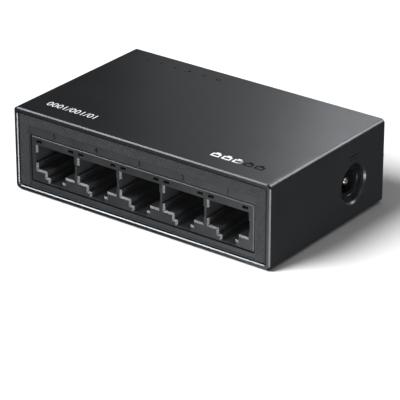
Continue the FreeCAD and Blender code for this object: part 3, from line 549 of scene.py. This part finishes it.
def ink(name, greys, roughness, specular):
    """Pad-printed ink that is thinner in places."""
    material, tree, shader = new_material(name, {"Specular IOR Level": specular})
    darkest, palest = greys
    coloured(tree, shader, grey(darkest), grey(palest), 0.12 * MM)
    glossed(tree, shader, *roughness, 0.2 * MM)
    grain(tree, shader, size=0.08 * MM, height=0.002 * MM)
    return material


def white_ink():
    """The white of the speed numbers."""
    return ink("white_ink", greys=(0.72, 0.90), roughness=(0.45, 0.60), specular=0.5)


def black_ink():
    """The near-black of the small marks."""
    return ink("black_ink", greys=(0.003, 0.006), roughness=(0.70, 0.85), specular=0.06)


def foil_painted_reflection():
    """Hot-stamped mirror foil whose reflection is painted: white on its left half and black on its right."""
    material, tree, shader = new_material("foil_painted_reflection", {"Specular IOR Level": 0.08})
    x = split(tree, place(tree))["X"]
    # Painted reflection: the colour turns from white to black along x, standing in for the white and the dark
    # that mirror foil would reflect.
    share = remap(tree, x, 0.0, 1.0, from_low=FOIL_REFLECTION_WHITE_END, from_high=FOIL_REFLECTION_BLACK_START)
    tree.links.new(between(tree, share, grey(0.85), grey(0.003)), shader.inputs["Base Color"])
    glossed(tree, shader, 0.60, 0.75, 0.3 * MM)
    grain(tree, shader, size=0.08 * MM, height=0.002 * MM)
    return material


MATERIALS = {
    "case_metal": anodised_case,
    "end_plastic": end_plastic,
    "socket_plastic": socket_plastic,
    "contact_gold": contact_gold,
    "nickel_plate": nickel_plate,
    "tinned_leads": tinned_leads,
    "screw_steel": screw_steel,
    "nylon": nylon,
    "foot_rubber": foot_rubber,
    "board_laminate": board_laminate,
    "package_black": package_black,
    "can_metal": can_metal,
    "resistor_ceramic": resistor_ceramic,
    "lamp_lens": lamp_lens,
    "clear_acrylic": clear_acrylic,
}


def dress_nodes(nodes):
    """Gives each CAD node the material of its slot, and the power socket its own blacker plastic."""
    made = {slot: build_material() for slot, build_material in MATERIALS.items()}
    for part in nodes.values():
        for holder in part.material_slots:
            holder.material = made[holder.material.name.split(".")[0]]
    nodes["power_socket_body"].material_slots[0].material = jack_plastic()


# ---------------------------------------------------------------------------------------------------------
# Making pieces
# ---------------------------------------------------------------------------------------------------------

def finished(name, shape):
    """The finished mesh of a shape under construction."""
    mesh = bpy.data.meshes.new(name)
    shape.to_mesh(mesh)
    shape.free()
    return mesh


def new_piece(name, mesh, material):
    """A piece with that mesh and material, riding on the case."""
    piece = bpy.data.objects.new(name, mesh)
    bpy.context.scene.collection.objects.link(piece)
    mesh.materials.clear()
    mesh.materials.append(material)
    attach(piece, "case")
    return piece


def mesh_from_curve(curve):
    """A curve's own flat, slightly thick mesh."""
    holder = bpy.data.objects.new("holder", curve)
    bpy.context.scene.collection.objects.link(holder)
    mesh = bpy.data.meshes.new_from_object(holder)
    bpy.data.objects.remove(holder)
    return mesh


def written(text, boldness=0.0):
    """The mesh of a line of text, in no particular size."""
    curve = bpy.data.curves.new("text", "FONT")
    curve.body = text
    curve.offset = boldness
    curve.resolution_u = LETTER_STEPS
    curve.extrude = ANY_THICKNESS
    return mesh_from_curve(curve)


def drawn(loops):
    """The mesh of flat outlines, where one inside another is a hole."""
    curve = bpy.data.curves.new("drawing", "CURVE")
    curve.dimensions = "2D"
    curve.fill_mode = "BOTH"
    curve.extrude = ANY_THICKNESS
    for loop in loops:
        spline = curve.splines.new("POLY")
        spline.points.add(len(loop) - 1)
        for point, (x, y) in zip(spline.points, loop):
            point.co = (x, y, 0, 1)
        spline.use_cyclic_u = True
    return mesh_from_curve(curve)


def circle(radius):
    """The points of a circle."""
    turns = [2 * math.pi * i / CIRCLE_STEPS for i in range(CIRCLE_STEPS)]
    return [(radius * math.cos(turn), radius * math.sin(turn)) for turn in turns]


def rectangle(left, right, bottom, top):
    """The points of a rectangle."""
    return (left, bottom), (right, bottom), (right, top), (left, top)


def fitted(mesh, height, width=None):
    """The mesh centred and scaled to a height, and to a width if one is given, as a printed layer."""
    points = [vertex.co for vertex in mesh.vertices]
    low = Vector(map(min, zip(*points)))
    high = Vector(map(max, zip(*points)))
    scale_y = height / (high.y - low.y)
    scale_x = width / (high.x - low.x) if width else scale_y
    scale_z = PRINT_THICKNESS / (high.z - low.z)
    mesh.transform(Matrix.Translation(-(low + high) / 2))
    mesh.transform(Matrix.Diagonal((scale_x, scale_y, scale_z, 1)))
    return mesh


def printed(name, marks, turn, material):
    """Joins marks, each a (mesh, centre) pair, into one printed piece whose marks are turned the same way."""
    shape = bmesh.new()
    for mesh, centre in marks:
        mesh.transform(Matrix.Translation(centre) @ turn)
        shape.from_mesh(mesh)
    bmesh.ops.remove_doubles(shape, verts=shape.verts[:], dist=PRINT_TOLERANCE)
    bmesh.ops.recalc_face_normals(shape, faces=shape.faces[:])
    new_piece(name, finished(name, shape), material)


# ---------------------------------------------------------------------------------------------------------
# The knurled skin
# ---------------------------------------------------------------------------------------------------------

def knurl_frame():
    """The outer and the inner edge of the knurled frame, each as (left, right, bottom, top)."""
    low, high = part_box("front_bezel")
    socket_low, socket_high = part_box("network_socket_housing")
    outer = (low.x + KNURL_MARGIN, high.x - KNURL_MARGIN, low.z + KNURL_MARGIN, high.z - KNURL_MARGIN)
    hole_margin = WINDOW_GAP + KNURL_MARGIN
    hole = (socket_low.x - hole_margin, socket_high.x + hole_margin, socket_low.z - hole_margin,
            socket_high.z + WINDOW_GAP + SMOOTH_BAND_HEIGHT)
    return outer, hole


def inside(box, x, z, reach_x=0.0, reach_z=0.0):
    """Whether everything up to those reaches from a point is inside a (left, right, bottom, top) box."""
    left, right, bottom, top = box
    within_width = left < x - reach_x and x + reach_x < right
    return within_width and bottom < z - reach_z and z + reach_z < top


def knurl_centres(outer, hole):
    """The centres of the knurls, in staggered rows that run past the edges of the frame."""
    left, right, bottom, top = outer
    columns = 2 * math.ceil((right - left) / KNURL_CELL_WIDTH / 2) + 2
    rows = 2 * math.ceil((top - bottom) / KNURL_CELL_HEIGHT / 2) + 2
    centres = []
    for i in range(-columns, columns + 1):
        for j in range(-rows, rows + 1):
            x = i * KNURL_CELL_WIDTH / 2
            z = (bottom + top) / 2 + j * KNURL_CELL_HEIGHT / 2
            if (i + j) % 2 == 0 and not inside(hole, x, z, KNURL_CELL_WIDTH, KNURL_CELL_HEIGHT):
                centres.append((x, z))
    return centres


def pyramid(shape, x, z, floor_y):
    """One knurl: a rhombic pyramid with a flat top, standing out towards the front."""
    half_width = KNURL_CELL_WIDTH / 2
    half_height = KNURL_CELL_HEIGHT / 2
    corners = ((half_width, 0), (0, half_height), (-half_width, 0), (0, -half_height))
    foot = [shape.verts.new((x + dx, floor_y, z + dz)) for dx, dz in corners]
    share = KNURL_FLAT_SHARE
    top = [shape.verts.new((x + dx * share, floor_y - KNURL_RELIEF, z + dz * share)) for dx, dz in corners]
    shape.faces.new(top)
    for i in range(4):
        shape.faces.new((foot[i], foot[(i + 1) % 4], top[(i + 1) % 4], top[i]))


def cut(shape, point, direction, drop):
    """Cuts the mesh along a plane, and drops what lies beyond it if asked."""
    geometry = shape.verts[:] + shape.edges[:] + shape.faces[:]
    bmesh.ops.bisect_plane(shape, geom=geometry, dist=CUT_TOLERANCE, plane_co=point, plane_no=direction,
                           clear_outer=drop)


def trim_to_frame(shape, outer, hole):
    """Cuts the mesh along both edges of the frame, and drops what is outside it or in its hole."""
    for (left, right, bottom, top), drop in ((outer, True), (hole, False)):
        cut(shape, (left, 0, 0), (-1, 0, 0), drop)
        cut(shape, (right, 0, 0), (1, 0, 0), drop)
        cut(shape, (0, 0, bottom), (0, 0, -1), drop)
        cut(shape, (0, 0, top), (0, 0, 1), drop)
    lost = []
    for face in shape.faces:
        middle = face.calc_center_median()
        if inside(hole, middle.x, middle.z):
            lost.append(face)
    bmesh.ops.delete(shape, geom=lost, context="FACES")


def close_behind(shape, back_y):
    """Makes an open relief solid, with a flat back and side walls."""
    rim = [edge for edge in shape.edges if edge.is_boundary]
    copied = bmesh.ops.duplicate(shape, geom=shape.verts[:] + shape.edges[:] + shape.faces[:])
    twin = copied["vert_map"]
    back_faces = [part for part in copied["geom"] if isinstance(part, bmesh.types.BMFace)]
    for part in copied["geom"]:
        if isinstance(part, bmesh.types.BMVert):
            part.co.y = back_y
    bmesh.ops.reverse_faces(shape, faces=back_faces)
    for edge in rim:
        a, b = edge.verts
        shape.faces.new((b, a, twin[a], twin[b]))


def knurled_skin(material):
    """The knurled skin of the bezel: a frame of pyramids that leaves out the sockets and the smooth band."""
    outer, hole = knurl_frame()
    face_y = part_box("front_bezel")[0].y
    shape = bmesh.new()
    for x, z in knurl_centres(outer, hole):
        pyramid(shape, x, z, face_y)
    bmesh.ops.remove_doubles(shape, verts=shape.verts[:], dist=KNURL_TOLERANCE)
    trim_to_frame(shape, outer, hole)
    close_behind(shape, face_y + KNURL_SINK)
    bmesh.ops.recalc_face_normals(shape, faces=shape.faces[:])
    return new_piece("bezel_knurl", finished("bezel_knurl", shape), material)


# ---------------------------------------------------------------------------------------------------------
# The printed marks
# ---------------------------------------------------------------------------------------------------------

def small_number(i, height):
    """The number of the port that has i others before it."""
    return fitted(written(str(i + 1), SMALL_NUMBER_BOLDNESS), height)


def port_numbers(material):
    """The numbers over the sockets, 1 at the right."""
    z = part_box("network_socket_housing")[1].z + WINDOW_GAP + SMOOTH_BAND_HEIGHT / 2
    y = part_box("front_bezel")[0].y
    marks = []
    for i in range(PORT_COUNT):
        x = PORT_PITCH * ((PORT_COUNT - 1) / 2 - i)
        marks.append((small_number(i, PORT_NUMBER_HEIGHT), Vector((x, y, z))))
    printed("port_numbers", marks, FACING_FRONT, material)


def lamp_marks(material, top_z):
    """A number beside each port's lamp, and a power ring beside the last lamp."""
    meshes = [small_number(i, LAMP_NUMBER_HEIGHT) for i in range(PORT_COUNT)]
    meshes.append(fitted(drawn([circle(1.0), circle(LAMP_RING_BORE)]), LAMP_NUMBER_HEIGHT))
    marks = []
    for i, mesh in enumerate(meshes):
        lamp = Vector((LAMP_FIRST_X + LAMP_PITCH * i, LAMP_Y, top_z))
        marks.append((mesh, lamp + LAMP_NUMBER_OFFSET))
    printed("lamp_marks", marks, READ_FROM_BEHIND, material)


def current_mark(material):
    """The sign for direct current, a bar over three dashes, above the power socket."""
    pin_low, pin_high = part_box("power_pin")
    centre = (pin_low + pin_high) / 2
    spot = Vector((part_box("housing_sleeve")[1].x, centre.y, centre.z + CURRENT_MARK_LIFT))
    bars = drawn([rectangle(*bar) for bar in CURRENT_BARS])
    marks = [(fitted(bars, CURRENT_MARK_HEIGHT, CURRENT_MARK_WIDTH), spot)]
    printed("current_mark", marks, FACING_RIGHT, material)


def speed_print(material, top_z):
    """The speeds that the switch works at, as numbers, read from behind."""
    text = fitted(written("10/100/1000"), TOP_PRINT_HEIGHT, TOP_PRINT_WIDTH)
    marks = [(text, Vector((SPEED_PRINT_X, TOP_PRINT_Y, top_z)))]
    printed("speed_print", marks, READ_FROM_BEHIND, material)


def ports_print(material, top_z):
    """Five small socket pictures in a row, read from behind."""
    pitch = (TOP_PRINT_WIDTH - SOCKET_PICTURE_WIDTH) / (PORT_COUNT - 1)
    marks = []
    for i in range(PORT_COUNT):
        picture = fitted(drawn([SOCKET_OUTLINE, SOCKET_OPENING]), TOP_PRINT_HEIGHT)
        x = PORTS_PRINT_X + pitch * (i - (PORT_COUNT - 1) / 2)
        marks.append((picture, Vector((x, TOP_PRINT_Y, top_z))))
    printed("ports_print", marks, READ_FROM_BEHIND, material)


# ---------------------------------------------------------------------------------------------------------
# Floor, lights and camera
# ---------------------------------------------------------------------------------------------------------

def pale_floor():
    """A plain pale floor with a very faint mottle. It doesn't show in reflections."""
    shape = bmesh.new()
    bmesh.ops.create_grid(shape, x_segments=1, y_segments=1, size=FLOOR_HALF_WIDTH)
    mesh = finished("floor", shape)
    material, tree, shader = new_material("floor_paper", {"Roughness": 0.9, "Specular IOR Level": 0.1})
    coloured(tree, shader, grey(0.80), grey(0.82), 30 * MM)
    mesh.materials.append(material)
    floor = bpy.data.objects.new("floor", mesh)
    floor.visible_glossy = False
    bpy.context.scene.collection.objects.link(floor)
    floor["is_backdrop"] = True
    return floor


def group(name, members):
    """A collection that a light can be limited to."""
    made = bpy.data.collections.new(name)
    for member in members:
        made.objects.link(member)
    return made


def direction(azimuth, elevation):
    """The unit vector towards those angles in degrees. Azimuth 0 is in front and 90 at the right."""
    azimuth = math.radians(azimuth)
    elevation = math.radians(elevation)
    return Vector((math.sin(azimuth) * math.cos(elevation),
                   -math.cos(azimuth) * math.cos(elevation),
                   math.sin(elevation)))


def add_light(lamp, away, lit, turn=0.0):
    """Places a light that far from the product's middle, facing it, and lights only one group with it."""
    light = bpy.data.objects.new(lamp.name, lamp)
    light.location = PRODUCT_MIDDLE + away
    facing = (PRODUCT_MIDDLE - light.location).to_track_quat("-Z", "Y").to_matrix()
    light.rotation_euler = (facing @ Matrix.Rotation(math.radians(turn), 3, "Z")).to_euler()
    light.visible_camera = False
    light.light_linking.receiver_collection = lit
    bpy.context.scene.collection.objects.link(light)
    return light


def softbox(name, lit, azimuth, elevation, distance, size, power, turn=0.0):
    """A rectangular soft light, turned about its own axis."""
    lamp = bpy.data.lights.new(name, "AREA")
    lamp.shape = "RECTANGLE"
    lamp.size, lamp.size_y = size
    lamp.energy = power
    lamp.color = PRODUCT_LIGHT_COLOUR
    return add_light(lamp, direction(azimuth, elevation) * distance, lit, turn)


def sun(name, lit, azimuth, elevation, spread, strength):
    """An even light from far away, whose spread sets how soft its shadows are."""
    lamp = bpy.data.lights.new(name, "SUN")
    lamp.angle = math.radians(spread)
    lamp.energy = strength
    add_light(lamp, direction(azimuth, elevation), lit)


def pale_room():
    """A world that looks as white as the floor behind the product, but only lights it faintly."""
    world = bpy.data.worlds.new("studio")
    world.use_nodes = True
    tree = world.node_tree
    tree.nodes.clear()
    white = (1, 1, 1, 1)
    faint = node(tree, "ShaderNodeBackground", {"Color": white, "Strength": ROOM_LIGHT})
    bright = node(tree, "ShaderNodeBackground", {"Color": white, "Strength": ROOM_WHITE})
    seen = node(tree, "ShaderNodeLightPath").outputs["Is Camera Ray"]
    mixed = node(tree, "ShaderNodeMixShader", {0: seen, 1: faint.outputs[0], 2: bright.outputs[0]})
    node(tree, "ShaderNodeOutputWorld", {"Surface": mixed.outputs[0]})
    return world


def studio(floor):
    """Plain soft studio light. The floor has its own lights, so that it stays white round a soft shadow."""
    bpy.context.scene.world = pale_room()
    product = group("product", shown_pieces())
    blockers = group("blockers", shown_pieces())
    ground = group("ground", [floor])
    for name, facts in FLOOR_LIGHTS.items():
        sun(name, ground, **facts)
    for name, facts in PRODUCT_LIGHTS.items():
        light = softbox(name, product, **facts)
        light.light_linking.blocker_collection = blockers
    bpy.context.scene.view_settings.view_transform = "Standard"


def camera():
    """The camera at the photograph's viewing angle."""
    back = direction(CAMERA_AZIMUTH, CAMERA_ELEVATION)
    lens = bpy.data.cameras.new("camera")
    lens.lens = CAMERA_LENS
    lens.sensor_width = CAMERA_SENSOR
    lens.clip_start = CAMERA_CLIP_START
    eye = bpy.data.objects.new("camera", lens)
    eye.location = CAMERA_TARGET + back * CAMERA_DISTANCE
    eye.rotation_euler = (-back).to_track_quat("-Z", "Y").to_euler()
    bpy.context.scene.collection.objects.link(eye)
    bpy.context.scene.camera = eye


def build():
    """Loads the CAD model, dresses it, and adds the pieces."""
    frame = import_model()
    dress_nodes(frame["nodes"])
    knurled_skin(knurl_plastic())
    top_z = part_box("housing_sleeve")[1].z
    black = black_ink()
    port_numbers(black)
    lamp_marks(black, top_z)
    current_mark(black)
    speed_print(white_ink(), top_z)
    ports_print(foil_painted_reflection(), top_z)
    studio(pale_floor())
    camera()


build()
